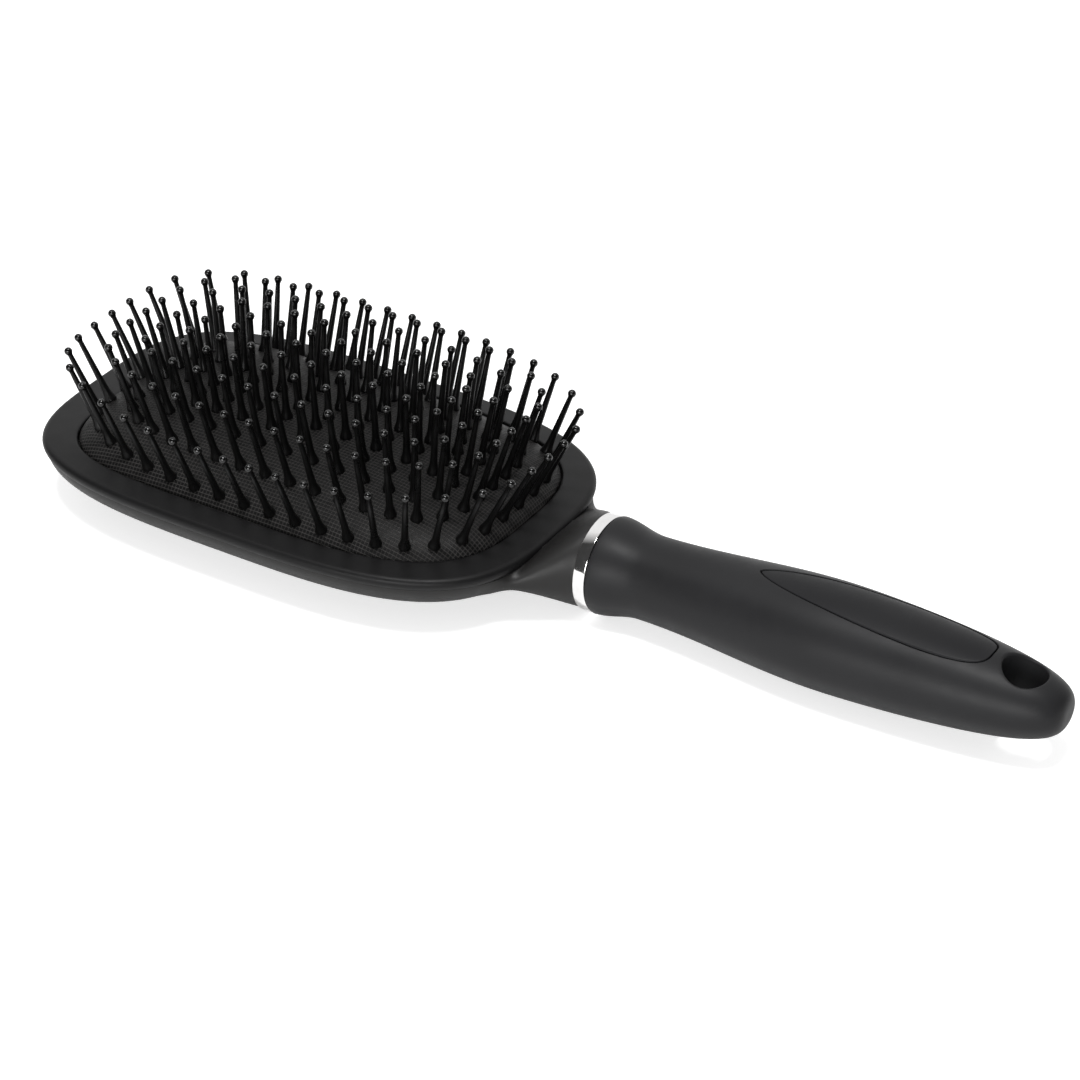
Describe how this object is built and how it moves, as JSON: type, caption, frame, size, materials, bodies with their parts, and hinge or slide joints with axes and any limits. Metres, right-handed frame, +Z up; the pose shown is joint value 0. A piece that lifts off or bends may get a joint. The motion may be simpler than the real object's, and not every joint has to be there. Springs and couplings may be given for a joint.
{
  "type": "detangling paddle brush",
  "caption": "Paddle brush with a domed rubber pad of ball-tipped pins in a rim frame, a plated ring and a soft handle with a thumb inlay and a hanging hole.",
  "frame": {"origin": "under the middle of the head, on the flat of the back that the brush rests on", "axes": "+X from the head to the end of the handle, +Y to the far side of the picture, +Z up out of the pins"},
  "size_m": [0.2401, 0.0766, 0.041],
  "materials": {
    "shell": "satin",
    "rim": "satin",
    "cushion": "embossed matte",
    "pins": "gloss",
    "ring": "polished",
    "core": "matte",
    "grip": "soft touch",
    "inlay": "soft touch"
  },
  "bodies": {
    "body": {"back_shell": "shell", "rim_frame": "rim", "cushion_pad": "cushion", "chrome_ring": "ring", "handle_core": "core", "handle_grip": "grip", "thumb_inlay": "inlay"},
    "centre_pins": {"pins_row_near": "pins", "pins_row_middle": "pins", "pins_row_far": "pins"},
    "outer_pins": {"pins_outer_neck": "pins", "pins_outer_far": "pins", "pins_outer_tip": "pins", "pins_outer_near": "pins"},
    "second_pins": {"pins_second_neck": "pins", "pins_second_far": "pins", "pins_second_tip": "pins", "pins_second_near": "pins"},
    "third_pins": {"pins_third_neck": "pins", "pins_third_far": "pins", "pins_third_tip": "pins", "pins_third_near": "pins"},
    "fourth_pins": {"pins_fourth_neck": "pins", "pins_fourth_far": "pins", "pins_fourth_tip": "pins", "pins_fourth_near": "pins"}
  },
  "joints": [
    {"name": "cushion_press", "type": "slide", "parent": "body", "child": "centre_pins", "axis": [0, 0, -1], "range_m": [0, 0.003], "stiffness_N_per_m": 800, "deforming": ["cushion_pad"]},
    {"name": "fourth_press", "type": "slide", "parent": "body", "child": "fourth_pins", "axis": [0, 0, -1], "range_m": [0, 0.00276]},
    {"name": "third_press", "type": "slide", "parent": "body", "child": "third_pins", "axis": [0, 0, -1], "range_m": [0, 0.00252]},
    {"name": "second_press", "type": "slide", "parent": "body", "child": "second_pins", "axis": [0, 0, -1], "range_m": [0, 0.00204]},
    {"name": "outer_press", "type": "slide", "parent": "body", "child": "outer_pins", "axis": [0, 0, -1], "range_m": [0, 0.00111]}
  ],
  "couplings": [
    {"joint": "fourth_press", "follows": "cushion_press", "ratio": 0.92},
    {"joint": "third_press", "follows": "cushion_press", "ratio": 0.84},
    {"joint": "second_press", "follows": "cushion_press", "ratio": 0.68},
    {"joint": "outer_press", "follows": "cushion_press", "ratio": 0.37}
  ]
}
